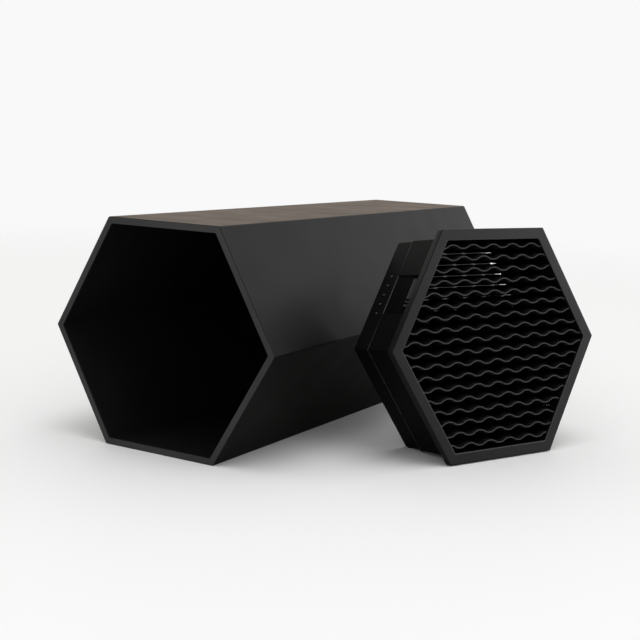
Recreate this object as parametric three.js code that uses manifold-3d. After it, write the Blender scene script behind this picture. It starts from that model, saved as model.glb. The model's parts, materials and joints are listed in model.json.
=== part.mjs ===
// A hexagonal knife block: a long six-sided shell lying on one of its flats, and
// the slotted insert that belongs in its mouth, lifted out and stood beside it.
//
// Millimetres, +Z up. The origin is the middle of the flat that the shell lies on,
// and +Y runs along the shell from its open mouth to its closed base.
//
// The insert is drawn in a frame of its own: X to the right and Z up on its face,
// and Y from the face towards its back. Two nested groups lean it and place it.

import * as THREE from "three";
import { mergeVertices } from "three/addons/utils/BufferGeometryUtils.js";
import Module from "manifold-3d";

// Shell, base and feet
const SHELL_FLATS = 92; // across the outer flats
const SHELL_LENGTH = 224;
const SHELL_WALL = 2.8;
const BASE_THICKNESS = 3;
const BASE_RECESS = 1.5; // how far the base plate sits inside the shell's end
const SKIRT_HEIGHT = 9; // the ring on the base plate that grips the shell
const SKIRT_WALL = 1.8;
const DRAIN_HOLES = 6;
const DRAIN_DIAMETER = 6;
const DRAIN_CIRCLE = 42;
const FEET = 6;
const FOOT_DIAMETER = 9;
const FOOT_PROUD = 1.2; // how far a foot stands out past the shell's end
const FOOT_EDGE_MARGIN = 4; // from a foot's rim to the skirt's corner, along the radius

// Insert
const INSERT_DEPTH = 32.5;
const FRONT_DEPTH = 21.5; // from the flange's face to the seam between front and rear
const FLANGE_LIP = 0.5; // how far the flange stands out past the shell's flats
const FLANGE_THICKNESS = 3;
const FRAME_WALL = 1;
const REAR_STEP = 0.4; // the rear frame is this much smaller on each side
const REAR_CHAMFER = 2.3; // along the insert's depth
const REAR_BEVEL = 0.9; // across, and less than the frame's wall

// Slats
const SLAT_COUNT = 18; // in each of the two layers
const SLAT_THICKNESS = 2.2;
const SLAT_RECESS = 0.8; // behind the flange's face
const WAVE_LENGTH = 10.45;
const WAVE_HEIGHT = 1.4; // from trough to crest along the slat's middle

// Latches, one on each of two opposite sides
const WINDOW_WIDTH = 17.3;
const WINDOW_DEPTH = 16.8;
const LATCH_THICKNESS = 0.7;
const HOOK_WIDTH = 10.5;
const HOOK_DEPTH = 5; // along the insert's depth

// Clearances
const PIECE_GAP = 0.3; // between pieces that are fixed together
const FIT_CLEARANCE = 0.2; // each side, between the insert and the shell
const LATCH_GAP = 0.4; // round a latch in its window
const EDGE_CLEARANCE = 0.35; // from the outermost slats to the rear frame

// Where the insert stands
const STAND_OFF = 2.6; // from the shell's side corner to the insert's nearest corner
const INSERT_ALONG = 81.5; // along Y, from the mouth to the middle of the flange's lower edge
const INSERT_YAW = THREE.MathUtils.degToRad(64.2);

// Worked out from the sizes above
const HOLLOW_FLATS = SHELL_FLATS - 2 * SHELL_WALL;
const FLANGE_FLATS = SHELL_FLATS + 2 * FLANGE_LIP;
const BODY_FLATS = HOLLOW_FLATS - 2 * FIT_CLEARANCE;
const OPENING_FLATS = BODY_FLATS - 2 * FRAME_WALL;
const REAR_FLATS = BODY_FLATS - 2 * REAR_STEP;
const REAR_HOLLOW_FLATS = REAR_FLATS - 2 * FRAME_WALL;
const SLAT_BAND = SLAT_THICKNESS + WAVE_HEIGHT;
const SLAT_PITCH = (REAR_HOLLOW_FLATS - 2 * EDGE_CLEARANCE - SLAT_BAND) / (SLAT_COUNT - 1);
const REAR_START = FRONT_DEPTH + PIECE_GAP;
const OVERHANG = (FLANGE_FLATS - REAR_FLATS) / 2;
const INSERT_LEAN = Math.atan2(OVERHANG, INSERT_DEPTH - REAR_CHAMFER - FLANGE_THICKNESS);

// How far the insert's nearest corner reaches from its lower edge back to the shell
const CORNER_BACK = INSERT_DEPTH * Math.cos(INSERT_LEAN) + (FLANGE_FLATS / 2) * Math.sin(INSERT_LEAN);
const CORNER_SIDE = REAR_FLATS / Math.sqrt(3);
const INSERT_REACH = CORNER_SIDE * Math.cos(INSERT_YAW) + CORNER_BACK * Math.sin(INSERT_YAW);
const INSERT_ACROSS = SHELL_FLATS / Math.sqrt(3) + STAND_OFF + INSERT_REACH;

const WAVE_STEPS = 4; // straight pieces in each wave
const ROUND_STEPS = 20; // sides of a drain hole or a foot
const OVERLAP = 1; // how far a cutting tool runs past what it cuts

const COLOURS = {
  shell: { color: 0x2b2a29, roughness: 0.55, metalness: 0 },
  base: { color: 0x222222, roughness: 0.6, metalness: 0 },
  foot: { color: 0x161616, roughness: 0.85, metalness: 0 },
  frame: { color: 0x242525, roughness: 0.45, metalness: 0 },
  slat: { color: 0x1d1e1e, roughness: 0.4, metalness: 0 },
};

const wasm = await Module();
wasm.setup();

// ---------------------------------------------------------------- solids

function toSolid(geometry) {
  const bare = geometry.clone();
  bare.deleteAttribute("normal");
  bare.deleteAttribute("uv");
  const merged = mergeVertices(bare);
  return new wasm.Manifold(
    new wasm.Mesh({
      numProp: 3,
      vertProperties: new Float32Array(merged.attributes.position.array),
      triVerts: new Uint32Array(merged.index.array),
    }),
  );
}

function toGeometry(solid) {
  const mesh = solid.getMesh();
  const geometry = new THREE.BufferGeometry();
  geometry.setAttribute("position", new THREE.BufferAttribute(new Float32Array(mesh.vertProperties), 3));
  geometry.setIndex(new THREE.BufferAttribute(new Uint32Array(mesh.triVerts), 1));
  geometry.computeVertexNormals();
  return geometry;
}

// A six-sided solid round the Y axis, its flats facing up and down. Each point of
// the profile is [distance across flats, place along Y], and the points go round
// the section anticlockwise as seen with the axis on the left.
function hexagonTurned(profile) {
  const points = profile.map(([flats, along]) => new THREE.Vector2(flats / Math.sqrt(3), along));
  points.push(points[0].clone());
  return new THREE.LatheGeometry(points, 6, Math.PI / 2);
}

function hexagonRing(outerFlats, innerFlats, start, end) {
  return hexagonTurned([
    [innerFlats, start],
    [outerFlats, start],
    [outerFlats, end],
    [innerFlats, end],
  ]);
}

function hexagonPlug(flats, start, end) {
  return hexagonTurned([
    [0, start],
    [flats, start],
    [flats, end],
    [0, end],
  ]);
}

function roundPeg(diameter, start, end, x, z) {
  const peg = new THREE.CylinderGeometry(diameter / 2, diameter / 2, end - start, ROUND_STEPS);
  peg.translate(x, (start + end) / 2, z);
  return peg;
}

// A block on the upper flat of the insert, turned about Y to another side.
function sideBlock(width, start, end, low, high, turn) {
  const block = new THREE.BoxGeometry(width, end - start, high - low);
  block.translate(0, (start + end) / 2, (low + high) / 2);
  block.rotateY(turn);
  return block;
}

// ---------------------------------------------------------------- shell and base

function shellGeometry() {
  return hexagonRing(SHELL_FLATS, HOLLOW_FLATS, 0, SHELL_LENGTH);
}

const BASE_END = SHELL_LENGTH - BASE_RECESS;
const BASE_FLATS = HOLLOW_FLATS - 2 * PIECE_GAP;

function basePlateGeometry() {
  const inside = BASE_END - BASE_THICKNESS;
  const skirtInner = BASE_FLATS - 2 * SKIRT_WALL;
  const plate = hexagonTurned([
    [0, inside],
    [skirtInner, inside],
    [skirtInner, BASE_END - SKIRT_HEIGHT],
    [BASE_FLATS, BASE_END - SKIRT_HEIGHT],
    [BASE_FLATS, BASE_END],
    [0, BASE_END],
  ]);
  let solid = toSolid(plate);
  for (let hole = 0; hole < DRAIN_HOLES; hole += 1) {
    const angle = ((hole + 0.5) * 2 * Math.PI) / DRAIN_HOLES;
    const x = (DRAIN_CIRCLE / 2) * Math.cos(angle);
    const z = (DRAIN_CIRCLE / 2) * Math.sin(angle);
    const drill = roundPeg(DRAIN_DIAMETER, inside - OVERLAP, BASE_END + OVERLAP, x, z);
    solid = solid.subtract(toSolid(drill));
  }
  return toGeometry(solid);
}

// The feet sit in the six corners, on the base plate's outer face.
function footGeometry(index) {
  const cornerRadius = BASE_FLATS / Math.sqrt(3);
  const radius = cornerRadius - FOOT_EDGE_MARGIN - FOOT_DIAMETER / 2;
  const angle = (index * 2 * Math.PI) / FEET;
  const x = radius * Math.cos(angle);
  const z = radius * Math.sin(angle);
  return roundPeg(FOOT_DIAMETER, BASE_END + PIECE_GAP, SHELL_LENGTH + FOOT_PROUD, x, z);
}

// ---------------------------------------------------------------- insert

const LATCH_TURNS = { upper: -Math.PI / 3, lower: (2 * Math.PI) / 3 };

function frontFrameGeometry() {
  const ring = hexagonTurned([
    [OPENING_FLATS, 0],
    [FLANGE_FLATS, 0],
    [FLANGE_FLATS, FLANGE_THICKNESS],
    [BODY_FLATS, FLANGE_THICKNESS],
    [BODY_FLATS, FRONT_DEPTH],
    [OPENING_FLATS, FRONT_DEPTH],
  ]);
  let solid = toSolid(ring);
  for (const turn of Object.values(LATCH_TURNS)) {
    const low = OPENING_FLATS / 2 - OVERLAP;
    const high = BODY_FLATS / 2 + OVERLAP;
    const start = FRONT_DEPTH - WINDOW_DEPTH;
    const cutter = sideBlock(WINDOW_WIDTH, start, FRONT_DEPTH + OVERLAP, low, high, turn);
    solid = solid.subtract(toSolid(cutter));
  }
  return toGeometry(solid);
}

function rearFrameGeometry() {
  return hexagonTurned([
    [REAR_HOLLOW_FLATS, REAR_START],
    [REAR_FLATS, REAR_START],
    [REAR_FLATS, INSERT_DEPTH - REAR_CHAMFER],
    [REAR_FLATS - 2 * REAR_BEVEL, INSERT_DEPTH],
    [REAR_HOLLOW_FLATS, INSERT_DEPTH],
  ]);
}

// A tongue that fills a window of the front frame, with a hook along its front end.
function latchGeometry(turn) {
  const low = OPENING_FLATS / 2;
  const high = low + LATCH_THICKNESS;
  const start = FRONT_DEPTH - WINDOW_DEPTH + LATCH_GAP;
  const width = WINDOW_WIDTH - 2 * LATCH_GAP;
  const tongue = toSolid(sideBlock(width, start, FRONT_DEPTH, low, high, turn));
  const hook = toSolid(sideBlock(HOOK_WIDTH, start, start + HOOK_DEPTH, low, BODY_FLATS / 2, turn));
  return toGeometry(tongue.add(hook));
}

// The outline of one wavy strip: along its upper edge, then back along its lower
// edge. Wave points lie half-way between crest and slope, so crests are flat.
function waveShape(flipped) {
  const halfSpan = OPENING_FLATS / Math.sqrt(3) + OVERLAP;
  const step = WAVE_LENGTH / WAVE_STEPS;
  const count = Math.ceil(halfSpan / step) + 1;
  const upper = [];
  const lower = [];
  for (let index = -count; index < count; index += 1) {
    const x = (index + 0.5) * step;
    const crest = Math.cos((2 * Math.PI * x) / WAVE_LENGTH) > 0 ? 1 : -1;
    const middle = (crest * (flipped ? -1 : 1) * WAVE_HEIGHT) / 2;
    upper.push(new THREE.Vector2(x, middle + SLAT_THICKNESS / 2));
    lower.push(new THREE.Vector2(x, middle - SLAT_THICKNESS / 2));
  }
  return new THREE.Shape([...upper, ...lower.reverse()]);
}

// One slat, cut to the six-sided hollow that holds it.
function slatGeometry(row, start, end, hollowFlats, flipped) {
  const height = ((SLAT_COUNT - 1) / 2 - row) * SLAT_PITCH;
  const strip = new THREE.ExtrudeGeometry(waveShape(flipped), { depth: end - start, bevelEnabled: false });
  strip.rotateX(Math.PI / 2);
  strip.translate(0, end, height);
  const room = hexagonPlug(hollowFlats - 2 * PIECE_GAP, start - OVERLAP, end + OVERLAP);
  return toGeometry(toSolid(strip).intersect(toSolid(room)));
}

// ---------------------------------------------------------------- assembly

function piece(name, geometry, look) {
  const mesh = new THREE.Mesh(geometry, new THREE.MeshStandardMaterial(look));
  mesh.name = name;
  return mesh;
}

function twoDigits(number) {
  return String(number).padStart(2, "0");
}

function shellGroup() {
  const group = new THREE.Group();
  group.add(piece("outer_shell", shellGeometry(), COLOURS.shell));
  group.add(piece("base_plate", basePlateGeometry(), COLOURS.base));
  for (let index = 0; index < FEET; index += 1) {
    group.add(piece(`foot_${index + 1}`, footGeometry(index), COLOURS.foot));
  }
  group.position.set(0, -SHELL_LENGTH / 2, SHELL_FLATS / 2);
  return group;
}

function insertPieces() {
  const group = new THREE.Group();
  group.add(piece("front_frame", frontFrameGeometry(), COLOURS.frame));
  group.add(piece("rear_frame", rearFrameGeometry(), COLOURS.frame));
  for (const [place, turn] of Object.entries(LATCH_TURNS)) {
    group.add(piece(`latch_${place}`, latchGeometry(turn), COLOURS.frame));
  }
  for (let row = 0; row < SLAT_COUNT; row += 1) {
    const flipped = row % 2 === 1;
    const label = twoDigits(row + 1);
    const front = slatGeometry(row, SLAT_RECESS, FRONT_DEPTH, OPENING_FLATS, flipped);
    const rear = slatGeometry(row, REAR_START, INSERT_DEPTH, REAR_HOLLOW_FLATS, !flipped);
    group.add(piece(`front_slat_${label}`, front, COLOURS.slat));
    group.add(piece(`rear_slat_${label}`, rear, COLOURS.slat));
  }
  return group;
}

// The insert leans back until it rests on its flange's lower edge and on the lower
// edge of its rear frame.
function insertGroup() {
  const pieces = insertPieces();
  pieces.position.set(0, 0, FLANGE_FLATS / 2);
  const leaning = new THREE.Group();
  leaning.add(pieces);
  leaning.rotation.x = -INSERT_LEAN;
  leaning.position.z = FLANGE_THICKNESS * Math.sin(INSERT_LEAN);
  const placed = new THREE.Group();
  placed.add(leaning);
  placed.rotation.z = INSERT_YAW;
  placed.position.set(INSERT_ACROSS, INSERT_ALONG - SHELL_LENGTH / 2, 0);
  return placed;
}

const knifeBlock = new THREE.Group();
knifeBlock.add(shellGroup());
knifeBlock.add(insertGroup());

export default knifeBlock;
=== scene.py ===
# %% [markdown]
# # A hexagonal knife block and its slotted insert
#
# The block is a six-sided tube of black moulded plastic with a soft-touch coat. Here it
# lies on one flat with its mouth open. Beside it stands the insert that belongs in the
# mouth: two shallow six-sided frames snapped together, each filled with wavy slats that
# knives slide in between.
#
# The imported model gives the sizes, the places and the joints. This lesson keeps them and
# makes the finer surfaces: rounded edges, true waves, moulded grain and soft light.

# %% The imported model
import json
import math

import bmesh
import bpy
from mathutils import Matrix, Vector


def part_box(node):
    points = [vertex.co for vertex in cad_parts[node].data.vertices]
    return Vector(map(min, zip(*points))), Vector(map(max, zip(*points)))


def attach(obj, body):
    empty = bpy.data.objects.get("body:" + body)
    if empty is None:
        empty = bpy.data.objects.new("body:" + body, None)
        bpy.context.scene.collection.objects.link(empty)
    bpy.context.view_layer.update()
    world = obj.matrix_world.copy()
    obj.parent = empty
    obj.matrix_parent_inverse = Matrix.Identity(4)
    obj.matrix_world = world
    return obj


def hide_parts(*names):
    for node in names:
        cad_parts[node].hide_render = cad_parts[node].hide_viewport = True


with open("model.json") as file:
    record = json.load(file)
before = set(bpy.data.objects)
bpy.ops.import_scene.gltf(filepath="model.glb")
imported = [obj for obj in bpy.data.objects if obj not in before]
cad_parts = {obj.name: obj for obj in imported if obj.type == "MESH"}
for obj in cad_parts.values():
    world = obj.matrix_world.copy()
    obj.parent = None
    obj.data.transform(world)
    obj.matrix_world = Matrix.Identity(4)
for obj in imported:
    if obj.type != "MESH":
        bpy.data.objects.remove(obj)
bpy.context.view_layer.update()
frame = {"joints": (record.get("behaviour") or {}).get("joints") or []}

# %% [markdown]
# ## Sizes that every piece shares
#
# Lengths are metres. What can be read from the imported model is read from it, so that the
# fine pieces land on the plain ones: the shell's size comes from its box, and the
# insert's place from its joints. The joint that pulls the front frame off points straight
# out of the insert's face. The two latches bend on opposite sides of the seam, so
# half-way between their hinges is the middle of the seam.

# %% Shared sizes
MM = 0.001
shell_low, shell_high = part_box("outer_shell")
SHELL_FLATS = shell_high.z - shell_low.z
SHELL_LENGTH = shell_high.y - shell_low.y
SHELL_WALL = 2.8 * MM
SHELL_AXIS_HEIGHT = SHELL_FLATS / 2
MOUTH_Y = shell_low.y

FLANGE_LIP = 0.5 * MM
FLANGE_FLATS = SHELL_FLATS + 2 * FLANGE_LIP
FLANGE_THICKNESS = 3.0 * MM
FIT_CLEARANCE = 0.2 * MM
BODY_FLATS = SHELL_FLATS - 2 * SHELL_WALL - 2 * FIT_CLEARANCE
FRAME_WALL = 1.0 * MM
OPENING_FLATS = BODY_FLATS - 2 * FRAME_WALL
FRONT_DEPTH = 21.5 * MM
PIECE_GAP = 0.3 * MM
REAR_START = FRONT_DEPTH + PIECE_GAP
INSERT_DEPTH = 32.5 * MM
REAR_STEP = 0.4 * MM
REAR_FLATS = BODY_FLATS - 2 * REAR_STEP
REAR_HOLLOW_FLATS = REAR_FLATS - 2 * FRAME_WALL

joints = {joint["name"]: joint for joint in frame["joints"]}
facing = Vector(joints["front_frame_pull"]["axis"]).normalized()
right = Vector((-facing.y, facing.x, 0)).normalized()
upward = facing.cross(right)
upper_hinge = Vector(joints["latch_upper_bend"]["pos_m"])
lower_hinge = Vector(joints["latch_lower_bend"]["pos_m"])
seam_middle = (upper_hinge + lower_hinge) / 2
face_middle = seam_middle + facing * FRONT_DEPTH

# Piece coordinates: X to the right, Y from the face towards the back, Z up.
INSERT_PLACE = Matrix.Translation(face_middle) @ Matrix((right, -facing, upward)).transposed().to_4x4()
SHELL_PLACE = Matrix.Translation((0, MOUTH_Y, SHELL_AXIS_HEIGHT))
print("shell", round(SHELL_FLATS / MM, 1), "x", round(SHELL_LENGTH / MM, 1), "mm")
print("insert face at", [round(value / MM, 1) for value in face_middle], "mm")

# %% [markdown]
# ## Camera and studio
#
# Products like this one are shown with a long lens from low down, with the block a
# little left of centre. The camera is set by where it stands, where it looks and how far
# it leans. It could be aimed at a target instead, but then its lean would be lost.

# %% Camera
LENS = 67.4
SENSOR_WIDTH = 36
CAMERA_FROM_MOUTH = Vector((3.089, -3.958, 1.4)) * SHELL_FLATS
LOOK_LEFT = math.radians(30.28)
LOOK_DOWN = math.radians(9.01)
CAMERA_LEAN = math.radians(2.29)


def camera_matrix():
    """Stands the camera, turns it left, tips it down and leans it over."""
    place = Vector((0, MOUTH_Y, 0)) + CAMERA_FROM_MOUTH
    turn = Matrix.Rotation(LOOK_LEFT, 4, "Z")
    tip = Matrix.Rotation(math.radians(90) - LOOK_DOWN, 4, "X")
    lean = Matrix.Rotation(CAMERA_LEAN, 4, "Z")
    return Matrix.Translation(place) @ turn @ tip @ lean


camera_data = bpy.data.cameras.new("camera")
camera_data.lens = LENS
camera_data.sensor_width = SENSOR_WIDTH
camera = bpy.data.objects.new("camera", camera_data)
camera.matrix_world = camera_matrix()
bpy.context.scene.collection.objects.link(camera)
bpy.context.scene.camera = camera
bpy.context.scene.view_settings.view_transform = "Standard"
print("camera stands", round(CAMERA_FROM_MOUTH.length, 3), "m from the mouth")

# %% [markdown]
# ## The room
#
# Black plastic shows almost nothing but reflections, so what stands round it matters more
# than the paint on it. Diffuse light comes evenly from a white room. Reflections see
# another room: pale behind the block, dark on the camera's side, with a bright lamp far
# to the right and a warm wall to the left, as of wood. The camera itself sees plain
# white, so that the backdrop stays even. A set of real lamps and cards could do the same,
# but it would take far longer to balance.

# %% Room
BACKDROP = 0.945
ROOM_LIGHT = 0.9
MIRRORED_IN_FRONT = 0.12
MIRRORED_BEHIND = 0.80
MIRRORED_RIGHT = 3.0
MIRRORED_WARMTH = (0.92, 0.79, 0.68)
# Where each change in the mirrored room starts and ends. A direction's X runs from -1 on
# the left to 1 on the right, and its Y from -1 in front of the block to 1 behind it.
BEHIND_SPAN = (-0.4, 0.7)
LAMP_RIGHT_SPAN = (0.2, 0.9)
LAMP_BEHIND_SPAN = (0.0, 0.6)
WARM_LEFT_SPAN = (0.0, -0.35)
WARM_BEHIND_SPAN = (0.2, 0.6)


def smooth_step(tree, value, span, low, high):
    """Runs smoothly from low to high as its input goes over a span."""
    node = tree.nodes.new("ShaderNodeMapRange")
    node.interpolation_type = "SMOOTHSTEP"
    for label, number in zip(("From Min", "From Max", "To Min", "To Max"), (*span, low, high)):
        node.inputs[label].default_value = number
    tree.links.new(value, node.inputs["Value"])
    return node.outputs["Result"]


def combine(tree, operation, first, second):
    """Works out one value from two."""
    node = tree.nodes.new("ShaderNodeMath")
    node.operation = operation
    tree.links.new(first, node.inputs[0])
    tree.links.new(second, node.inputs[1])
    return node.outputs[0]


def room_light(tree, strength):
    """A background of one white strength."""
    node = tree.nodes.new("ShaderNodeBackground")
    node.inputs["Strength"].default_value = strength
    node.inputs["Color"].default_value = (1, 1, 1, 1)
    return node


def make_room():
    """Even light for matt surfaces, another room for reflections, and white for the camera."""
    world = bpy.data.worlds.new("white_room")
    world.use_nodes = True
    tree = world.node_tree
    link = tree.links.new
    split = tree.nodes.new("ShaderNodeSeparateXYZ")
    link(tree.nodes.new("ShaderNodeTexCoord").outputs["Generated"], split.inputs[0])
    mirrored = room_light(tree, 1.0)
    across, along = split.outputs["X"], split.outputs["Y"]
    behind = smooth_step(tree, along, BEHIND_SPAN, MIRRORED_IN_FRONT, MIRRORED_BEHIND)
    lamp_right = smooth_step(tree, across, LAMP_RIGHT_SPAN, 0, 1)
    lamp_behind = smooth_step(tree, along, LAMP_BEHIND_SPAN, MIRRORED_IN_FRONT, MIRRORED_RIGHT)
    lamp = combine(tree, "MULTIPLY", lamp_right, lamp_behind)
    link(combine(tree, "MAXIMUM", behind, lamp), mirrored.inputs["Strength"])
    warm = tree.nodes.new("ShaderNodeMix")
    warm.data_type = "RGBA"
    warm.inputs[6].default_value = (1, 1, 1, 1)
    warm.inputs[7].default_value = (*MIRRORED_WARMTH, 1)
    warm_left = smooth_step(tree, across, WARM_LEFT_SPAN, 0, 1)
    warm_behind = smooth_step(tree, along, WARM_BEHIND_SPAN, 0, 1)
    link(combine(tree, "MULTIPLY", warm_left, warm_behind), warm.inputs[0])
    link(warm.outputs[2], mirrored.inputs["Color"])

    ray = tree.nodes.new("ShaderNodeLightPath")
    first = tree.nodes.new("ShaderNodeMixShader")
    link(ray.outputs["Is Glossy Ray"], first.inputs[0])
    link(room_light(tree, ROOM_LIGHT).outputs[0], first.inputs[1])
    link(mirrored.outputs[0], first.inputs[2])
    second = tree.nodes.new("ShaderNodeMixShader")
    link(ray.outputs["Is Camera Ray"], second.inputs[0])
    link(first.outputs[0], second.inputs[1])
    link(room_light(tree, BACKDROP).outputs[0], second.inputs[2])
    link(second.outputs[0], tree.nodes["World Output"].inputs["Surface"])
    bpy.context.scene.world = world


make_room()
print("reflections see a room of", MIRRORED_BEHIND, "behind and", MIRRORED_IN_FRONT, "in front")

# %% [markdown]
# ## The floor
#
# The floor is one flat sheet, and it catches the shadows. Away from the block it fades
# into the white of the backdrop, which leaves no horizon. A curved sweep is the usual
# way, but its bend would show as a band of grey. In reflections the sheet is darker, as a
# matt floor is from low down.

# %% Floor
FLOOR_COLOUR = (0.86, 0.865, 0.86)
FLOOR_MIRRORED = (0.2, 0.2, 0.2)
FLOOR_ROUGHNESS = 0.6
FLOOR_SHINE = 0.1
FLOOR_REACH = 40.0
FADE_SPAN = (0.15, 1.1)


def floor_material():
    """A matt pale sheet, greyer in reflections, that fades into the backdrop with distance."""
    material = bpy.data.materials.new("floor_white")
    material.use_nodes = True
    nodes = material.node_tree.nodes
    link = material.node_tree.links.new
    surface = nodes["Principled BSDF"]
    surface.inputs["Base Color"].default_value = (*FLOOR_COLOUR, 1)
    surface.inputs["Roughness"].default_value = FLOOR_ROUGHNESS
    surface.inputs["Specular IOR Level"].default_value = FLOOR_SHINE
    place = nodes.new("ShaderNodeTexCoord")
    reach = nodes.new("ShaderNodeVectorMath")
    reach.operation = "LENGTH"
    link(place.outputs["Object"], reach.inputs[0])
    fade = smooth_step(material.node_tree, reach.outputs["Value"], FADE_SPAN, 0, 1)
    shaded = nodes.new("ShaderNodeBsdfDiffuse")
    shaded.inputs["Color"].default_value = (*FLOOR_MIRRORED, 1)
    white = nodes.new("ShaderNodeEmission")
    white.inputs["Strength"].default_value = BACKDROP
    faded = nodes.new("ShaderNodeMixShader")
    link(fade, faded.inputs[0])
    link(surface.outputs[0], faded.inputs[1])
    link(white.outputs[0], faded.inputs[2])
    ray = nodes.new("ShaderNodeLightPath")
    sheet = nodes.new("ShaderNodeMixShader")
    link(ray.outputs["Is Glossy Ray"], sheet.inputs[0])
    link(faded.outputs[0], sheet.inputs[1])
    link(shaded.outputs[0], sheet.inputs[2])
    link(sheet.outputs[0], nodes["Material Output"].inputs["Surface"])
    return material


floor_mesh = bpy.data.meshes.new("floor")
quarters = ((-1, -1), (1, -1), (1, 1), (-1, 1))
floor_corners = [(x * FLOOR_REACH, y * FLOOR_REACH, 0) for x, y in quarters]
floor_mesh.from_pydata(floor_corners, [], [(0, 1, 2, 3)])
floor_mesh.materials.append(floor_material())
floor = bpy.data.objects.new("floor", floor_mesh)
bpy.context.scene.collection.objects.link(floor)
print("the floor fades out between", FADE_SPAN[0], "and", FADE_SPAN[1], "m")

# %% [markdown]
# ## The lamp
#
# An even room alone would leave the shadows without direction. One wide soft lamp above
# and to the right of the block draws them a little to the left. A small lamp would draw
# hard edges, which black plastic doesn't need.

# %% Lamp
LAMP_PLACE = (0.35, -0.2, 1.3)
LAMP_TARGET = (0.03, 0, 0.05)
LAMP_SIZE = 0.9
LAMP_POWER = 5.0


def make_lamp(name, place, target, size, power):
    """A square soft lamp at a place, aimed at a target."""
    data = bpy.data.lights.new(name, "AREA")
    data.shape = "SQUARE"
    data.size = size
    data.energy = power
    lamp = bpy.data.objects.new(name, data)
    lamp.location = place
    lamp.rotation_euler = (Vector(target) - Vector(place)).to_track_quat("-Z", "Y").to_euler()
    bpy.context.scene.collection.objects.link(lamp)
    return lamp


make_lamp("lamp_above", LAMP_PLACE, LAMP_TARGET, LAMP_SIZE, LAMP_POWER)
print("one lamp,", LAMP_SIZE, "m wide, stands", LAMP_PLACE[2], "m above the floor")

# %% [markdown]
# ## Black plastics
#
# All the finishes share one recipe. The colour is nearly black and drifts a little, as
# moulded plastic does. Two sizes of noise move the surface: a broad one changes the
# roughness, as handling does, and a fine one is the grain of the mould and drives the
# bump. An attribute, set when a piece is made, marks edges that are rubbed and edges that
# catch the light: there the plastic is paler, which is wear and a painted highlight. A low
# index of refraction and a little sheen make the soft-touch coat dark from the front and
# pale at a glancing angle.

# %% A recipe for black plastic
DRIFT_SIZE = 35 * MM
HANDLED_SIZE = 16 * MM
HANDLED_CHANGE = 0.04
GRAIN_STRENGTH = 0.6
SHEEN_ROUGHNESS = 0.3


def add_noise(tree, place, size, detail):
    """Noise with lumps of about that size in metres."""
    noise = tree.nodes.new("ShaderNodeTexNoise")
    noise.inputs["Scale"].default_value = 1 / size
    noise.inputs["Detail"].default_value = detail
    tree.links.new(place, noise.inputs["Vector"])
    return noise.outputs["Fac"]


def spread(tree, value, low, high):
    """Stretches the middle of a noise over a range."""
    node = tree.nodes.new("ShaderNodeMapRange")
    node.inputs["From Min"].default_value = 0.3
    node.inputs["From Max"].default_value = 0.7
    node.inputs["To Min"].default_value = low
    node.inputs["To Max"].default_value = high
    tree.links.new(value, node.inputs["Value"])
    return node.outputs["Result"]


def blend_colours(tree, amount, first, second):
    """Mixes two colours, given as numbers or as a socket, by an amount."""
    node = tree.nodes.new("ShaderNodeMix")
    node.data_type = "RGBA"
    tree.links.new(amount, node.inputs[0])
    for socket, colour in ((node.inputs[6], first), (node.inputs[7], second)):
        if isinstance(colour, tuple):
            socket.default_value = (*colour, 1)
        else:
            tree.links.new(colour, socket)
    return node.outputs[2]


def black_plastic(name, tone, worn_and_highlight_tone, rough, grain, grain_depth, ior=1.4, sheen=0.0, warmth=(1, 1, 1)):
    """Plastic with drifting colour, handled roughness, moulded grain, and paler edges for wear and
    painted highlights.
    """
    material = bpy.data.materials.new(name)
    material.use_nodes = True
    tree = material.node_tree
    surface = tree.nodes["Principled BSDF"]
    place = tree.nodes.new("ShaderNodeTexCoord").outputs["Object"]

    darker = tuple(value * 0.8 for value in tone)
    lighter = tuple(value * 1.25 for value in tone)
    drift = spread(tree, add_noise(tree, place, DRIFT_SIZE, 4), 0, 1)
    colour = blend_colours(tree, drift, darker, lighter)
    # Edges that the mesh marks turn paler: wear and a painted highlight.
    edge_wear_and_highlight = tree.nodes.new("ShaderNodeAttribute")
    edge_wear_and_highlight.attribute_name = "edge_wear_and_highlight"
    colour = blend_colours(tree, edge_wear_and_highlight.outputs["Fac"], colour, worn_and_highlight_tone)
    tree.links.new(colour, surface.inputs["Base Color"])

    smudges = add_noise(tree, place, HANDLED_SIZE, 6)
    handled = spread(tree, smudges, rough - HANDLED_CHANGE, rough + HANDLED_CHANGE)
    tree.links.new(handled, surface.inputs["Roughness"])
    bump = tree.nodes.new("ShaderNodeBump")
    bump.inputs["Strength"].default_value = GRAIN_STRENGTH
    bump.inputs["Distance"].default_value = grain_depth
    tree.links.new(add_noise(tree, place, grain, 3), bump.inputs["Height"])
    tree.links.new(bump.outputs["Normal"], surface.inputs["Normal"])

    surface.inputs["IOR"].default_value = ior
    surface.inputs["Sheen Weight"].default_value = sheen
    surface.inputs["Sheen Roughness"].default_value = SHEEN_ROUGHNESS
    surface.inputs["Sheen Tint"].default_value = (*warmth, 1)
    return material


print("one recipe serves every black plastic")
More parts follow.
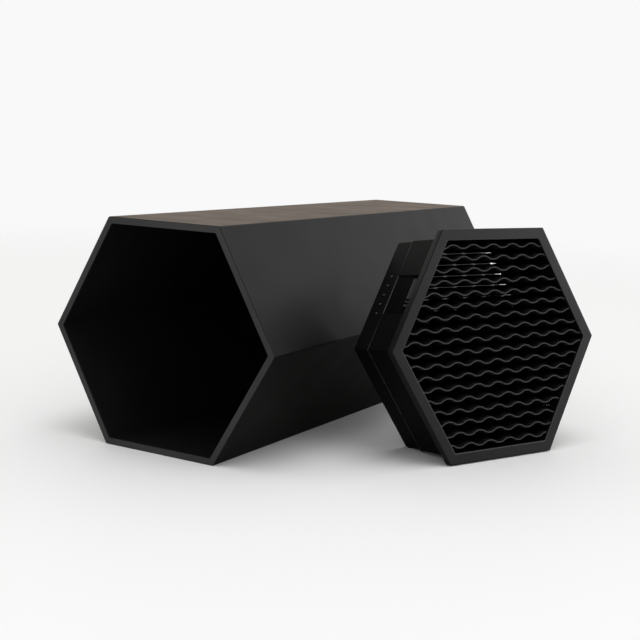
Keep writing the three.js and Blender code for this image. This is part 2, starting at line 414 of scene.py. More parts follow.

# %% [markdown]
# ## The finishes
#
# Each finish gives the recipe a tone, a paler tone for wear and painted highlights, a
# roughness, the size of its grain and how deep that grain is. The coat on the shell is the
# finest. The frames have a satin face and duller walls behind the flange. The rim's finish
# is paler, a painted reflection of the light in front, and the latch's is darker, which
# paints in the shade of its window.

# %% The finishes
SOFT_TOUCH = black_plastic(
    "soft_touch_black", (0.0042, 0.0042, 0.0041), (0.035, 0.034, 0.033), 0.38, 0.35 * MM, 0.004 * MM,
    ior=1.27, sheen=0.02, warmth=(1.0, 0.7, 0.5),
)
# The inside finish also goes on the rim's rounded edges, where it paints a dark reflection.
INSIDE_AND_PAINTED_DARK_LINE = black_plastic(
    "shell_inside_and_painted_dark_line", (0.0080, 0.0083, 0.0080), (0.02, 0.02, 0.02), 0.55, 0.5 * MM, 0.02 * MM, ior=1.2
)
# The rim's pale tone is a painted reflection of the light in front of it.
RIM_PAINTED_REFLECTION = black_plastic(
    "rim_painted_reflection", (0.0320, 0.0318, 0.0312), (0.035, 0.035, 0.034), 0.38, 0.25 * MM, 0.03 * MM, ior=1.55
)
FRAME_DULL = black_plastic(
    "frame_dull", (0.0030, 0.0032, 0.0031), (0.18, 0.182, 0.18), 0.42, 0.3 * MM, 0.02 * MM, ior=1.22
)
FRAME_SATIN = black_plastic(
    "frame_satin", (0.0070, 0.0072, 0.0070), (0.055, 0.056, 0.055), 0.36, 0.3 * MM, 0.015 * MM, ior=1.38
)
SLAT_SATIN = black_plastic(
    "slat_satin", (0.0022, 0.0022, 0.0022), (0.045, 0.046, 0.045), 0.4, 0.4 * MM, 0.01 * MM, ior=1.25
)
# The latch's dark tone is painted shade: the dark of its window and of the black shell beside it.
LATCH_PAINTED_SHADE = black_plastic(
    "latch_painted_shade", (0.0018, 0.0020, 0.0019), (0.07, 0.07, 0.07), 0.5, 0.3 * MM, 0.015 * MM, ior=1.16
)
BASE_PLAIN = black_plastic(
    "base_plain", (0.010, 0.010, 0.010), (0.03, 0.03, 0.03), 0.5, 0.3 * MM, 0.03 * MM, ior=1.42
)
FOOT_RUBBER = black_plastic(
    "foot_rubber", (0.013, 0.013, 0.013), (0.02, 0.02, 0.02), 0.75, 0.2 * MM, 0.04 * MM, ior=1.4
)
print("finishes:", [material.name for material in bpy.data.materials])

# %% [markdown]
# ## Six-sided pieces
#
# The shell, both frames and the base plate are all one kind of shape: a flat section
# carried round a hexagon. A bevel modifier on a plain tube could round them, but it gives
# every edge one radius. Here the section is drawn as a few corners, each with a radius of
# its own, and the corners are turned into arcs. The section is then carried round the six
# corners, which have radii too. That gives exact flats, exact radii and clean quads.

# %% Rounding a section
ARC_STEPS = 5
# How far past a rounded corner its paler tone, wear and a painted highlight, fades out.
WEAR_AND_HIGHLIGHT_REACH = 0.08 * MM


def arc_points(before, here, after, radius):
    """The points of the arc that rounds one corner of an outline."""
    into = (before - here).normalized()
    out = (after - here).normalized()
    half_angle = into.angle(out) / 2
    centre = here + (into + out).normalized() * (radius / math.sin(half_angle))
    start = here + into * (radius / math.tan(half_angle)) - centre
    end = here + out * (radius / math.tan(half_angle)) - centre
    sweep = end.angle_signed(start)
    points = []
    for step in range(ARC_STEPS + 1):
        spoke = start.copy()
        spoke.rotate(Matrix.Rotation(sweep * step / ARC_STEPS, 2))
        points.append(centre + spoke)
    return points


def round_section(corners):
    """Rounds an outline of (x, y, radius, wear and painted highlight) corners into a loop of (point,
    wear and painted highlight).
    """
    loop = []
    for index, (x, y, radius, wear_and_highlight) in enumerate(corners):
        here = Vector((x, y))
        if radius <= 0:
            loop.append((here, wear_and_highlight))
            continue
        before = Vector(corners[index - 1][:2])
        after = Vector(corners[(index + 1) % len(corners)][:2])
        arc = arc_points(before, here, after, radius)
        loop.append((arc[0] + (before - arc[0]).normalized() * WEAR_AND_HIGHLIGHT_REACH, 0.0))
        for point in arc:
            loop.append((point, wear_and_highlight))
        loop.append((arc[-1] + (after - arc[-1]).normalized() * WEAR_AND_HIGHLIGHT_REACH, 0.0))
    return loop


def hexagon_loop(apothem, radius):
    """A hexagon of that distance from the axis to its flats, with rounded corners."""
    to_corner = 1 / math.cos(math.radians(30))
    points = []
    for corner in range(6):
        middle = math.radians(60 * corner)
        centre = Vector((math.cos(middle), math.sin(middle))) * (apothem - radius) * to_corner
        for step in range(ARC_STEPS + 1):
            angle = middle + math.radians(60 * (step / ARC_STEPS - 0.5))
            points.append(centre + Vector((math.cos(angle), math.sin(angle))) * radius)
    return points


print("a rounded corner has", ARC_STEPS + 1, "points")
# The paler edge printed here is wear and a painted highlight.
print("wear fades out", round(WEAR_AND_HIGHLIGHT_REACH / MM, 2), "mm past it")

# %% [markdown]
# ## From a section to a piece
#
# A closed section makes a ring, such as the shell, and an open one makes a plug, such as
# the base plate. Edges sharper than a set angle stay sharp in the shading, and weighted
# normals keep the flats flat beside their rounded edges, which a smooth shading alone
# would bend. A finished piece has its place in its mesh, so that its object stays at the
# origin.

# %% Carrying a section round the hexagon
TURNED_SHARP_ANGLE = math.radians(35)


def new_object(name, mesh, materials):
    """Links a mesh as an object with these materials."""
    piece = bpy.data.objects.new(name, mesh)
    for material in materials:
        mesh.materials.append(material)
    bpy.context.scene.collection.objects.link(piece)
    return piece


def hexagon_turned(name, corners, corner_radius, materials, closed=True):
    """A section carried round six corners: a ring if it is closed, and a plug if it is open."""
    section = round_section(corners)
    build = bmesh.new()
    wear_and_highlight_layer = build.verts.layers.float.new("edge_wear_and_highlight")
    rings = []
    for point, wear_and_highlight in section:
        ring = []
        for x, z in hexagon_loop(point.x, min(corner_radius, point.x / 2)):
            vertex = build.verts.new((x, point.y, z))
            vertex[wear_and_highlight_layer] = wear_and_highlight
            ring.append(vertex)
        rings.append(ring)
    around = len(rings[0])
    spans = len(rings) if closed else len(rings) - 1
    for index in range(spans):
        here = rings[index]
        there = rings[(index + 1) % len(rings)]
        for point in range(around):
            following = (point + 1) % around
            build.faces.new((here[point], here[following], there[following], there[point]))
    if not closed:
        build.faces.new(rings[0])
        build.faces.new(list(reversed(rings[-1])))
    bmesh.ops.recalc_face_normals(build, faces=build.faces)
    mesh = bpy.data.meshes.new(name)
    build.to_mesh(mesh)
    build.free()
    mesh.shade_smooth()
    mesh.set_sharp_from_angle(angle=TURNED_SHARP_ANGLE)
    return new_object(name, mesh, materials)


def finished(piece, place):
    """Makes a piece's modifiers real, shades its arcs smooth, and moves its mesh to its place."""
    shading = piece.modifiers.new("flats_stay_flat", "WEIGHTED_NORMAL")
    shading.weight = 100
    shading.keep_sharp = True
    evaluated = piece.evaluated_get(bpy.context.evaluated_depsgraph_get())
    mesh = bpy.data.meshes.new_from_object(evaluated)
    piece.modifiers.clear()
    piece.data = mesh
    mesh.name = piece.name
    mesh.transform(place)
    return piece


def cut_away(piece, cutter):
    """Takes the cutter's shape out of a piece."""
    cut = piece.modifiers.new("cut", "BOOLEAN")
    cut.operation = "DIFFERENCE"
    cut.solver = "EXACT"
    cut.object = cutter


def discard(helper):
    """Deletes a helper object once its shape has been used."""
    bpy.data.objects.remove(helper, do_unlink=True)


print("helpers for turned and cut pieces are ready")

# %% [markdown]
# ## The outer shell
#
# The shell is a straight tube with walls under 3 mm thick. Its rim is cut square, with
# only a hair of rounding, which shows as a fine dark line between the rim and the sides.
# The outside has the soft-touch coat. The inside is bare and a good deal blacker. The rounded
# edges get the inside's finish too, as a painted dark reflection, and the rim face gets a
# paler finish, as a painted reflection of the light in front. So faces get their finish by
# the way they point.

# %% Shell
RIM_ROUND = 0.45 * MM
SHELL_CORNER = 0.9 * MM
RIM_TILT = 0.75
PAINTED_DARK_LINE_TILT = 0.25
hollow_half = SHELL_FLATS / 2 - SHELL_WALL
# Each corner's last number is how much paler its rounding is: wear and a painted highlight.
shell_section = [
    (hollow_half, 0, RIM_ROUND, 0.6),
    (SHELL_FLATS / 2, 0, RIM_ROUND, 0.1),
    (SHELL_FLATS / 2, SHELL_LENGTH, RIM_ROUND, 0.1),
    (hollow_half, SHELL_LENGTH, RIM_ROUND, 0.3),
]
shell = hexagon_turned("shell", shell_section, SHELL_CORNER, [SOFT_TOUCH, INSIDE_AND_PAINTED_DARK_LINE, RIM_PAINTED_REFLECTION])
for face in shell.data.polygons:
    outward = Vector((face.center.x, 0, face.center.z))
    if face.normal.dot(outward) < -0.5 * outward.length:
        face.material_index = 1
    # Rim faces take the paler rim finish, a painted reflection of the light in front.
    elif abs(face.normal.y) > RIM_TILT:
        face.material_index = 2
    # Rounded edges take the darker inside finish, which paints a dark reflection along the rim.
    elif abs(face.normal.y) > PAINTED_DARK_LINE_TILT:
        face.material_index = 1
finished(shell, SHELL_PLACE)
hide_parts("outer_shell")
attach(shell, "shell")
print("shell has", len(shell.data.polygons), "faces")

# %% [markdown]
# ## Base plate
#
# A flat plate closes the far end, and its skirt grips the shell's wall. Knives go in
# damp, so it has six drain holes. They are cut with one boolean, and each drill is turned
# from a profile that flares at both ends, so that every hole comes out chamfered.

# %% Base plate
BASE_THICKNESS = 3.0 * MM
SKIRT_WALL = 1.8 * MM
DRAIN_HOLES = 6
DRAIN_RADIUS = 3.0 * MM
DRAIN_CIRCLE = 21.0 * MM
CHAMFER = 0.5 * MM
ROUND_SIDES = 32
base_low, base_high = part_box("base_plate")
WALL_TOUCH = 0.02 * MM
base_half = hollow_half - WALL_TOUCH
hub = 0.4 * MM
base_outer = base_high.y - MOUTH_Y
base_inner = base_outer - BASE_THICKNESS
skirt_edge = base_low.y - MOUTH_Y
skirt_inner = base_half - SKIRT_WALL
# Each corner's last number is how much paler its rounding is: wear and a painted highlight.
base_section = [
    (hub, base_inner, 0, 0),
    (skirt_inner, base_inner, 0.5 * MM, 0),
    (skirt_inner, skirt_edge, 0.4 * MM, 0.3),
    (base_half, skirt_edge, 0.4 * MM, 0.3),
    (base_half, base_outer, 0.5 * MM, 0.5),
    (hub, base_outer, 0, 0),
]


def turned_about_y(build, profile, x, z):
    """Adds a round solid to a mesh: (radius, along) points turned about an axis along Y."""
    rings = []
    for radius, along in profile:
        ring = []
        for side in range(ROUND_SIDES):
            angle = 2 * math.pi * side / ROUND_SIDES
            spoke_x, spoke_z = radius * math.cos(angle), radius * math.sin(angle)
            ring.append(build.verts.new((x + spoke_x, along, z + spoke_z)))
        rings.append(ring)
    for here, there in zip(rings, rings[1:]):
        for side in range(ROUND_SIDES):
            following = (side + 1) % ROUND_SIDES
            build.faces.new((here[side], here[following], there[following], there[side]))
    build.faces.new(rings[0])
    build.faces.new(list(reversed(rings[-1])))
    bmesh.ops.recalc_face_normals(build, faces=build.faces)


drills_build = bmesh.new()
wide = DRAIN_RADIUS + CHAMFER + MM
for hole in range(DRAIN_HOLES):
    angle = (hole + 0.5) * 2 * math.pi / DRAIN_HOLES
    drill = [
        (wide, base_inner - MM),
        (DRAIN_RADIUS, base_inner + CHAMFER),
        (DRAIN_RADIUS, base_outer - CHAMFER),
        (wide, base_outer + MM),
    ]
    drill_x, drill_z = DRAIN_CIRCLE * math.cos(angle), DRAIN_CIRCLE * math.sin(angle)
    turned_about_y(drills_build, drill, drill_x, drill_z)
drills_mesh = bpy.data.meshes.new("drills")
drills_build.to_mesh(drills_mesh)
drills_build.free()
drills = new_object("drills", drills_mesh, [])
base = hexagon_turned("base", base_section, SHELL_CORNER, [BASE_PLAIN], closed=False)
cut_away(base, drills)
finished(base, SHELL_PLACE)
discard(drills)
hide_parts("base_plate")
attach(base, "shell")
print("base has", DRAIN_HOLES, "drain holes and", len(base.data.polygons), "faces")

# %% [markdown]
# ## Geometry Nodes for what repeats
#
# Feet, grip pips and slats repeat, so Geometry Nodes make them. Each tree is built here
# in code, with named inputs for its sizes. A modifier's inputs go by an identifier, so a
# small helper looks it up by name. When the modifier has done its work, its result is
# kept as a plain mesh and the modifier goes.

# %% Helpers for node trees
def new_tree(name, inputs):
    """An empty Geometry Nodes tree with a mesh in, a mesh out and these named inputs."""
    tree = bpy.data.node_groups.new(name, "GeometryNodeTree")
    tree.interface.new_socket("Geometry", in_out="INPUT", socket_type="NodeSocketGeometry")
    for label, kind in inputs.items():
        tree.interface.new_socket(label, in_out="INPUT", socket_type="NodeSocket" + kind)
    tree.interface.new_socket("Geometry", in_out="OUTPUT", socket_type="NodeSocketGeometry")
    return tree, tree.nodes.new("NodeGroupInput").outputs


def add_node(tree, kind, settings=None, **sockets):
    """Adds a node, sets its settings, and fills its sockets with numbers or links."""
    node = tree.nodes.new(kind)
    for setting, value in (settings or {}).items():
        setattr(node, setting, value)
    for label, value in sockets.items():
        label = label.replace("_", " ")
        socket = node.inputs[int(label)] if label.isdigit() else node.inputs[label]
        if isinstance(value, bpy.types.NodeSocket):
            tree.links.new(value, socket)
        else:
            socket.default_value = value
    return node


def calculate(tree, operation, first, second=0.0):
    """One sum, with numbers or sockets."""
    node = tree.nodes.new("ShaderNodeMath")
    node.operation = operation
    for socket, value in zip(node.inputs, (first, second)):
        if isinstance(value, bpy.types.NodeSocket):
            tree.links.new(value, socket)
        else:
            socket.default_value = value
    return node.outputs[0]


def end_tree(tree, geometry, material):
    """Every tree ends with real geometry and its material."""
    real = add_node(tree, "GeometryNodeRealizeInstances", Geometry=geometry)
    painted = add_node(tree, "GeometryNodeSetMaterial", Geometry=real.outputs[0], Material=material)
    output = tree.nodes.new("NodeGroupOutput")
    tree.links.new(painted.outputs[0], output.inputs[0])


def use_tree(piece, tree, values):
    """Puts a tree on a piece and sets its inputs by their identifiers."""
    modifier = piece.modifiers.new(tree.name, "NODES")
    modifier.node_group = tree
    for item in tree.interface.items_tree:
        if item.in_out == "INPUT" and item.name in values:
            modifier[item.identifier] = values[item.name]


print("helpers for node trees are ready")

# %% [markdown]
# ## Feet
#
# Six rubber feet keep the block from sliding when it stands upright. One foot is turned
# from a profile with a rounded rim and a shallow dish, which is how a small rubber pad
# bears on its edge and grips. A tree then puts a copy on each point of a circle.

# %% Feet
foot_low, foot_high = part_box("foot_1")
FOOT_RADIUS = (foot_high.z - foot_low.z) / 2
FOOT_CIRCLE = (foot_low.x + foot_high.x) / 2
foot_start = foot_low.y - MOUTH_Y
foot_end = foot_high.y - MOUTH_Y
FOOT_ROUND = 0.5 * MM
FOOT_DISH = 0.3 * MM

feet_tree, given = new_tree("ring_of_copies", {"Copies": "Int", "Circle": "Float", "Finish": "Material"})
ring = add_node(feet_tree, "GeometryNodeMeshCircle", Vertices=given["Copies"], Radius=given["Circle"])
upright = add_node(
    feet_tree, "GeometryNodeTransform", Geometry=ring.outputs[0], Rotation=(math.radians(90), 0, 0)
)
copies = add_node(
    feet_tree, "GeometryNodeInstanceOnPoints", Points=upright.outputs[0], Instance=given["Geometry"]
)
end_tree(feet_tree, copies.outputs[0], given["Finish"])

foot_build = bmesh.new()
foot_profile = [(FOOT_RADIUS, foot_start), (FOOT_RADIUS, foot_end - FOOT_ROUND)]
foot_profile += [
    (FOOT_RADIUS - FOOT_ROUND * (1 - math.cos(angle)), foot_end - FOOT_ROUND * (1 - math.sin(angle)))
    for angle in (math.radians(30), math.radians(60), math.radians(90))
]
foot_profile += [(FOOT_RADIUS * 0.7, foot_end), (FOOT_RADIUS * 0.6, foot_end - FOOT_DISH)]
turned_about_y(foot_build, foot_profile, 0, 0)
foot_mesh = bpy.data.meshes.new("feet")
foot_build.to_mesh(foot_mesh)
foot_build.free()
feet = new_object("feet", foot_mesh, [])
use_tree(feet, feet_tree, {"Copies": 6, "Circle": FOOT_CIRCLE, "Finish": FOOT_RUBBER})
finished(feet, SHELL_PLACE)
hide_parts(*[f"foot_{number}" for number in range(1, 7)])
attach(feet, "shell")
print("feet have", len(feet.data.polygons), "faces")

# %% [markdown]
# ## The front frame
#
# The front frame is a shallow ring with a flange, which stops it at the shell's mouth.
# Two opposite sides have a window that is open towards the seam, for the rear frame's
# latches. The windows are cut with boxes by a boolean. They could be drawn into the ring,
# but then its section would change part of the way round.

# %% Front frame
FRAME_CORNER = 0.7 * MM
WINDOW_WIDTH = 17.3 * MM
WINDOW_DEPTH = 16.8 * MM
WINDOW_START = FRONT_DEPTH - WINDOW_DEPTH
CUTTER_HEIGHT = 6 * MM
DULL_FROM = FLANGE_THICKNESS * 1.05
LATCH_TURNS = {"upper": math.radians(-60), "lower": math.radians(120)}
SEAM_GAP = 0.06 * MM
seam = REAR_START - SEAM_GAP
opening_half = OPENING_FLATS / 2
# Each corner's last number is how much paler its rounding is: wear and a painted highlight, palest along
# the seam and the opening's edge.
front_section = [
    (opening_half, 0, 0.3 * MM, 0.7),
    (FLANGE_FLATS / 2, 0, 0.35 * MM, 0.0),
    (FLANGE_FLATS / 2, FLANGE_THICKNESS, 0.35 * MM, 0.5),
    (BODY_FLATS / 2, FLANGE_THICKNESS, 0.4 * MM, 0.0),
    (BODY_FLATS / 2, seam, 0.2 * MM, 1.0),
    (opening_half, seam, 0.2 * MM, 0.0),
]


def window_cutter():
    """Two boxes, one for each latch window."""
    build = bmesh.new()
    for turn in LATCH_TURNS.values():
        size = Matrix.Diagonal((WINDOW_WIDTH, FRONT_DEPTH, CUTTER_HEIGHT, 1))
        middle = Vector((0, WINDOW_START + FRONT_DEPTH / 2, BODY_FLATS / 2))
        place = Matrix.Rotation(turn, 4, "Y") @ Matrix.Translation(middle) @ size
        bmesh.ops.create_cube(build, size=1, matrix=place)
    mesh = bpy.data.meshes.new("window_cutter")
    build.to_mesh(mesh)
    build.free()
    return new_object("window_cutter", mesh, [])


def dull_the_walls(piece):
    """Gives everything behind the flange the duller finish."""
    for face in piece.data.polygons:
        if face.center.y > DULL_FROM:
            face.material_index = 1


cutter = window_cutter()
front = hexagon_turned("front_frame_fine", front_section, FRAME_CORNER, [FRAME_SATIN, FRAME_DULL])
dull_the_walls(front)
cut_away(front, cutter)
finished(front, INSERT_PLACE)
discard(cutter)
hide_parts("front_frame")
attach(front, "insert_front")
print("front frame has", len(front.data.polygons), "faces")

# %% [markdown]
# ## The rear frame
#
# The rear frame snaps in behind the front one. Its back edge is rounded, so that it finds
# its way into the shell. Behind each latch, a short row of pips gives a thumb something
# to grip. A tree sets the pips in a row, and the rows are joined to the frame.

# %% Rear frame
PIPS = 5
PIP_PITCH = 4.2 * MM
PIP_LENGTH = 2.0 * MM
PIP_WIDTH = 0.9 * MM
PIP_HEIGHT = 0.5 * MM
# How much paler the pips' tops are: wear and a painted highlight.
PIP_WEAR_AND_HIGHLIGHT = 0.3
REAR_ROUND = 2.0 * MM
REAR_DRAWN_IN = 0.8 * MM
rear_half = REAR_FLATS / 2
# Each corner's last number is how much paler its rounding is: wear and a painted highlight.
rear_section = [
    (REAR_HOLLOW_FLATS / 2, REAR_START, 0.2 * MM, 0.0),
    (rear_half, REAR_START, 0.25 * MM, 0.35),
    (rear_half, INSERT_DEPTH - REAR_ROUND, 0, 0.0),
    (rear_half - 0.25 * MM, INSERT_DEPTH - REAR_ROUND * 0.4, 0, 0.0),
    (rear_half - REAR_DRAWN_IN, INSERT_DEPTH, 0, 0.4),
    (REAR_HOLLOW_FLATS / 2, INSERT_DEPTH, 0, 0.2),
]

pip_tree, given = new_tree("row_of_copies", {"Copies": "Int", "Pitch": "Float", "Finish": "Material"})
row_start = calculate(pip_tree, "SUBTRACT", given["Copies"], 1)
row_start = calculate(pip_tree, "MULTIPLY", row_start, given["Pitch"])
row_start = calculate(pip_tree, "MULTIPLY", row_start, -0.5)
row_place = add_node(pip_tree, "ShaderNodeCombineXYZ", X=row_start)
row_step = add_node(pip_tree, "ShaderNodeCombineXYZ", X=given["Pitch"])
row_line = add_node(
    pip_tree, "GeometryNodeMeshLine", Count=given["Copies"], Start_Location=row_place.outputs[0],
    Offset=row_step.outputs[0],
)
row_copies = add_node(
    pip_tree, "GeometryNodeInstanceOnPoints", Points=row_line.outputs[0], Instance=given["Geometry"]
)
end_tree(pip_tree, row_copies.outputs[0], given["Finish"])


def pip_mesh():
    """A low dome, longer along the insert's depth, with its top paler for wear and a painted highlight.
    """
    build = bmesh.new()
    bmesh.ops.create_uvsphere(build, u_segments=12, v_segments=8, radius=1)
    wear_and_highlight_layer = build.verts.layers.float.new("edge_wear_and_highlight")
    for vertex in build.verts:
        vertex[wear_and_highlight_layer] = PIP_WEAR_AND_HIGHLIGHT if vertex.co.z > 0.5 else 0.0
    bmesh.ops.scale(build, vec=(PIP_WIDTH / 2, PIP_LENGTH / 2, PIP_HEIGHT), verts=build.verts)
    for face in build.faces:
        face.smooth = True
    mesh = bpy.data.meshes.new("pip")
    build.to_mesh(mesh)
    build.free()
    return mesh


rear = hexagon_turned("rear_frame_fine", rear_section, FRAME_CORNER, [FRAME_DULL])
pip_along = (REAR_START + INSERT_DEPTH) / 2 - MM
for place, turn in LATCH_TURNS.items():
    pips = new_object(f"pips_{place}", pip_mesh(), [])
    use_tree(pips, pip_tree, {"Copies": PIPS, "Pitch": PIP_PITCH, "Finish": FRAME_DULL})
    finished(pips, Matrix.Rotation(turn, 4, "Y") @ Matrix.Translation((0, pip_along, rear_half)))
    joined = bmesh.new()
    joined.from_mesh(rear.data)
    joined.from_mesh(pips.data)
    joined.to_mesh(rear.data)
    joined.free()
    discard(pips)
finished(rear, INSERT_PLACE)
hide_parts("rear_frame")
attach(rear, "insert_rear")
print("rear frame has", 2 * PIPS, "grip pips")

# %% [markdown]
# ## Latches
#
# A latch is a thin tongue that grows forward from the rear frame into a window of the
# front frame. Near its end a hook rises to a narrow ridge, with a ramp in front of it
# that lets the frames slide together. Its section is a short outline, carried straight
# across. Where the hook isn't, the outline simply stays low, which a boolean couldn't do
# without leaving slivers.

# %% Latches
LATCH_GAP = 0.12 * MM
LATCH_HALF = WINDOW_WIDTH / 2 - LATCH_GAP
TONGUE_LOW = OPENING_FLATS / 2
TONGUE_HIGH = TONGUE_LOW + 0.4 * MM
RIDGE_HIGH = BODY_FLATS / 2
latch_start = WINDOW_START + LATCH_GAP
RIDGE_ALONG = 10.3 * MM
RIDGE_WIDTH = 0.5 * MM
HOOKS = ((-5.2, -4.4), (-3.4, -2.8), (-1.8, 7.0))
HOOK_SIDE = 0.15 * MM


def latch_section(with_hook):
    """The outline of the tongue, as (along, height, wear and painted highlight), with or without its
    hook.
    """
    top = RIDGE_HIGH if with_hook else TONGUE_HIGH
    # The hook's ridge and ramp are paler: wear and a painted highlight.
    wear_and_highlight = 1.0 if with_hook else 0.0
    return [
        (latch_start, TONGUE_LOW, 0.0),
        (latch_start, TONGUE_LOW + 0.25 * MM, wear_and_highlight * 0.3),
        (RIDGE_ALONG - RIDGE_WIDTH, top - 0.1 * MM, wear_and_highlight * 0.5),
        (RIDGE_ALONG - RIDGE_WIDTH / 2, top, wear_and_highlight),
        (RIDGE_ALONG, top - 0.1 * MM, wear_and_highlight),
        (RIDGE_ALONG + 0.3 * MM, TONGUE_HIGH, 0.0),
        (FRONT_DEPTH, TONGUE_HIGH + 0.25 * MM, 0.0),
        (FRONT_DEPTH, TONGUE_LOW, 0.0),
    ]


def latch_stations():
    """Where the section changes across the tongue, as (x, with a hook or not)."""
    stations = [(-LATCH_HALF, False)]
    for low, high in HOOKS:
        stations += [(low * MM - HOOK_SIDE, False), (low * MM, True)]
        stations += [(high * MM, True), (high * MM + HOOK_SIDE, False)]
    return stations + [(LATCH_HALF, False)]


def make_latch(name, turn):
    """Carries the tongue's section across its width."""
    build = bmesh.new()
    wear_and_highlight_layer = build.verts.layers.float.new("edge_wear_and_highlight")
    loops = []
    for x, with_hook in latch_stations():
        loop = []
        for along, height, wear_and_highlight in latch_section(with_hook):
            vertex = build.verts.new((x, along, height))
            vertex[wear_and_highlight_layer] = wear_and_highlight
            loop.append(vertex)
        loops.append(loop)
    for here, there in zip(loops, loops[1:]):
        for point in range(len(here)):
            following = (point + 1) % len(here)
            build.faces.new((here[point], here[following], there[following], there[point]))
    build.faces.new(loops[0])
    build.faces.new(list(reversed(loops[-1])))
    bmesh.ops.recalc_face_normals(build, faces=build.faces)
    mesh = bpy.data.meshes.new(name)
    build.to_mesh(mesh)
    build.free()
    # The darker latch finish paints in the shade of the window.
    latch = new_object(name, mesh, [LATCH_PAINTED_SHADE])
    return finished(latch, INSERT_PLACE @ Matrix.Rotation(turn, 4, "Y"))


for place, turn in LATCH_TURNS.items():
    latch = make_latch(f"latch_{place}_fine", turn)
    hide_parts(f"latch_{place}")
    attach(latch, f"latch_{place}")
print("two latches, each with a hook in", len(HOOKS), "lengths")

# %% [markdown]
# ## Wavy slats
#
# Each frame holds eighteen wavy slats, and a knife slides in between any two of them. The
# waves of neighbouring rows run opposite ways, and so do those of the two layers, so a
# blade is held at four places. A slat starts at a thin rounded nose, thickens over a few
# millimetres and keeps one thickness after that.
#
# The section is drawn once. A tree then makes one line for each row, bends it into a wave,
# carries the section along it, and trims everything with a hexagon that is a little
# smaller than the frame's hollow. Plain arrays of bent strips would need eighteen objects
# for each layer, and a change of pitch would mean moving all of them.

# %% The tree for a layer of slats
slat_inputs = {
    "Rows": "Int",
    "Pitch": "Float",
    "Half Span": "Float",
    "Wave Length": "Float",
    "Wave Height": "Float",
    "Opposite": "Float",
    "Room": "Float",
    "Finish": "Material",
}
STEPS_PER_WAVE = 14
WAVE_FULLNESS = 0.3
ROOM_DEPTH = 0.2
slat_tree, given = new_tree("wavy_slats", slat_inputs)

section = add_node(slat_tree, "GeometryNodeMeshToCurve", Mesh=given["Geometry"])
span_ends = []
for sign in (-1, 1):
    reach = calculate(slat_tree, "MULTIPLY", given["Half Span"], sign)
    span_ends.append(add_node(slat_tree, "ShaderNodeCombineXYZ", X=reach).outputs[0])
line = add_node(slat_tree, "GeometryNodeCurvePrimitiveLine", Start=span_ends[0], End=span_ends[1])
waves = calculate(slat_tree, "DIVIDE", given["Half Span"], given["Wave Length"])
points = calculate(slat_tree, "MULTIPLY", waves, 2 * STEPS_PER_WAVE)
stepped = add_node(slat_tree, "GeometryNodeResampleCurve", Curve=line.outputs[0], Count=points)

height = calculate(slat_tree, "SUBTRACT", given["Rows"], 1)
height = calculate(slat_tree, "MULTIPLY", height, given["Pitch"])
height = calculate(slat_tree, "MULTIPLY", height, 0.5)
top_row = add_node(slat_tree, "ShaderNodeCombineXYZ", Z=height)
drop = calculate(slat_tree, "MULTIPLY", given["Pitch"], -1)
row_drop = add_node(slat_tree, "ShaderNodeCombineXYZ", Z=drop)
rows = add_node(
    slat_tree, "GeometryNodeMeshLine", Count=given["Rows"], Start_Location=top_row.outputs[0],
    Offset=row_drop.outputs[0],
)
laid = add_node(
    slat_tree, "GeometryNodeInstanceOnPoints", Points=rows.outputs[0], Instance=stepped.outputs[0]
)
index = slat_tree.nodes.new("GeometryNodeInputIndex")
numbered = add_node(
    slat_tree, "GeometryNodeStoreNamedAttribute", {"domain": "INSTANCE", "data_type": "FLOAT"},
    Geometry=laid.outputs[0], Name="row", Value=index.outputs[0],
)
lines = add_node(slat_tree, "GeometryNodeRealizeInstances", Geometry=numbered.outputs[0])

spot = slat_tree.nodes.new("GeometryNodeInputPosition")
spot_parts = add_node(slat_tree, "ShaderNodeSeparateXYZ", Vector=spot.outputs[0])
wave_turn = calculate(slat_tree, "DIVIDE", spot_parts.outputs["X"], given["Wave Length"])
wave = calculate(slat_tree, "COSINE", calculate(slat_tree, "MULTIPLY", wave_turn, 2 * math.pi))
cubed = calculate(slat_tree, "POWER", calculate(slat_tree, "ABSOLUTE", wave), 3)
cubed = calculate(slat_tree, "MULTIPLY", cubed, calculate(slat_tree, "SIGN", wave))
full_wave = calculate(slat_tree, "MULTIPLY", wave, 1 + WAVE_FULLNESS)
sharp_part = calculate(slat_tree, "MULTIPLY", cubed, WAVE_FULLNESS)
wave = calculate(slat_tree, "SUBTRACT", full_wave, sharp_part)
row = add_node(slat_tree, "GeometryNodeInputNamedAttribute", {"data_type": "FLOAT"}, Name="row")
side = calculate(slat_tree, "ADD", row.outputs[0], given["Opposite"])
side = calculate(slat_tree, "COSINE", calculate(slat_tree, "MULTIPLY", side, math.pi))
rise = calculate(slat_tree, "MULTIPLY", wave, side)
rise = calculate(slat_tree, "MULTIPLY", rise, given["Wave Height"])
rise = calculate(slat_tree, "MULTIPLY", rise, 0.5)
shift = add_node(slat_tree, "ShaderNodeCombineXYZ", Z=rise)
waved = add_node(
    slat_tree, "GeometryNodeSetPosition", Geometry=lines.outputs[0], Offset=shift.outputs[0]
)
level = add_node(slat_tree, "GeometryNodeSetCurveNormal", Curve=waved.outputs[0])
level.mode = "Z_UP"
strips = add_node(slat_tree, "GeometryNodeCurveToMesh", Curve=level.outputs[0])
slat_tree.links.new(section.outputs[0], strips.inputs["Profile Curve"])
strips.inputs["Fill Caps"].default_value = True

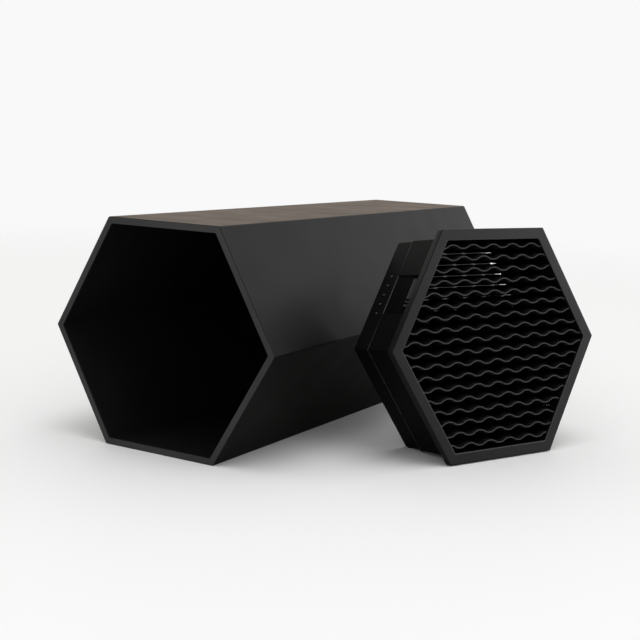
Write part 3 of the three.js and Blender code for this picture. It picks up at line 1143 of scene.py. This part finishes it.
room = add_node(
    slat_tree, "GeometryNodeMeshCylinder", Vertices=6, Radius=given["Room"], Depth=ROOM_DEPTH
)
room_turned = add_node(
    slat_tree, "GeometryNodeTransform", Geometry=room.outputs[0], Rotation=(math.radians(90), 0, 0)
)
trimmed = slat_tree.nodes.new("GeometryNodeMeshBoolean")
trimmed.operation = "INTERSECT"
slat_tree.links.new(strips.outputs[0], trimmed.inputs["Mesh 2"])
slat_tree.links.new(room_turned.outputs[0], trimmed.inputs["Mesh 2"])
end_tree(slat_tree, trimmed.outputs[0], given["Finish"])
print("the slat tree has", len(slat_tree.nodes), "nodes")

# %% [markdown]
# ## The two layers
#
# The front slats have their noses at the insert's face, and the rear ones at its back, so
# one section serves both when its depth is turned round. Its outline is turned round with
# it, because a section that runs the wrong way makes a strip that is inside out. The rear
# slats are thicker. After the trimming the noses are made paler by their depth, for wear
# and a painted highlight along their rounded fronts.

# %% Slat layers
SLAT_COUNT = 18
SLAT_THICKNESS = 2.2 * MM
REAR_THICKNESS = 3.1 * MM
SLAT_RECESS = 0.8 * MM
WAVE_LENGTH = 10.45 * MM
WAVE_HEIGHT = 1.4 * MM
EDGE_CLEARANCE = 0.35 * MM
NOSE_RADIUS = 0.29 * MM
NOSE_STEPS = 6
TAPER = 3.0 * MM
TAIL_CUT = 0.3 * MM
SLAT_SHARP_ANGLE = math.radians(40)
# How far the lines run on past the wall before they are trimmed. These two lengths keep
# the wave's steps clear of the hexagon's corners, where trimming would leave slivers.
FRONT_OVERHANG = 1.63 * MM
REAR_OVERHANG = 1.3 * MM
slat_band = SLAT_THICKNESS + WAVE_HEIGHT
SLAT_PITCH = (REAR_HOLLOW_FLATS - 2 * EDGE_CLEARANCE - slat_band) / (SLAT_COUNT - 1)


def slat_section(start, end, thickness):
    """The slat's outline from nose to tail, as points whose X runs against the depth."""
    depth = 1 if end > start else -1
    outline = []
    for step in range(NOSE_STEPS + 1):
        angle = math.radians(90 + 180 * step / NOSE_STEPS)
        along = start + depth * NOSE_RADIUS * (1 + math.cos(angle))
        outline.append((along, NOSE_RADIUS * math.sin(angle)))
    half = thickness / 2
    outline += [(start + depth * TAPER, -half), (end - depth * TAIL_CUT, -half), (end, TAIL_CUT - half)]
    outline += [(end, half - TAIL_CUT), (end - depth * TAIL_CUT, half), (start + depth * TAPER, half)]
    if depth < 0:
        outline.reverse()
    return [(-along, -height, 0) for along, height in outline]


def make_slats(name, start, end, thickness, hollow_flats, opposite, overhang):
    """One layer of slats, trimmed to the hollow that holds it."""
    points = slat_section(start, end, thickness)
    mesh = bpy.data.meshes.new(name)
    edges = [(index, (index + 1) % len(points)) for index in range(len(points))]
    mesh.from_pydata(points, edges, [])
    layer = new_object(name, mesh, [])
    values = {
        "Rows": SLAT_COUNT,
        "Pitch": SLAT_PITCH,
        "Half Span": hollow_flats / math.sqrt(3) + overhang,
        "Wave Length": WAVE_LENGTH,
        "Wave Height": WAVE_HEIGHT,
        "Opposite": opposite,
        "Room": (hollow_flats - 2 * WALL_TOUCH) / math.sqrt(3),
        "Finish": SLAT_SATIN,
    }
    use_tree(layer, slat_tree, values)
    finished(layer, Matrix.Identity(4))
    return layer


def mark_nose_wear_and_highlight(layer, nose):
    """Marks a slat's nose paler, for wear and a painted highlight, and shades its round parts smooth."""
    mesh = layer.data
    edge_wear_and_highlight = mesh.attributes.new("edge_wear_and_highlight", "FLOAT", "POINT")
    for vertex in mesh.vertices:
        depth = abs(vertex.co.y - nose)
        edge_wear_and_highlight.data[vertex.index].value = max(0.0, 1 - depth / (1.2 * NOSE_RADIUS))
    mesh.shade_smooth()
    mesh.set_sharp_from_angle(angle=SLAT_SHARP_ANGLE)
    mesh.transform(INSERT_PLACE)


front_slats = make_slats(
    "front_slats", SLAT_RECESS, FRONT_DEPTH, SLAT_THICKNESS, OPENING_FLATS, 0.0, FRONT_OVERHANG
)
mark_nose_wear_and_highlight(front_slats, SLAT_RECESS)
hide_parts(*[f"front_slat_{number:02d}" for number in range(1, SLAT_COUNT + 1)])
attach(front_slats, "insert_front")

rear_slats = make_slats(
    "rear_slats", INSERT_DEPTH, REAR_START, REAR_THICKNESS, REAR_HOLLOW_FLATS, 1.0, REAR_OVERHANG
)
mark_nose_wear_and_highlight(rear_slats, INSERT_DEPTH)
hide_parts(*[f"rear_slat_{number:02d}" for number in range(1, SLAT_COUNT + 1)])
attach(rear_slats, "insert_rear")
for layer in (front_slats, rear_slats):
    print(layer.name, "has", len(layer.data.polygons), "faces")
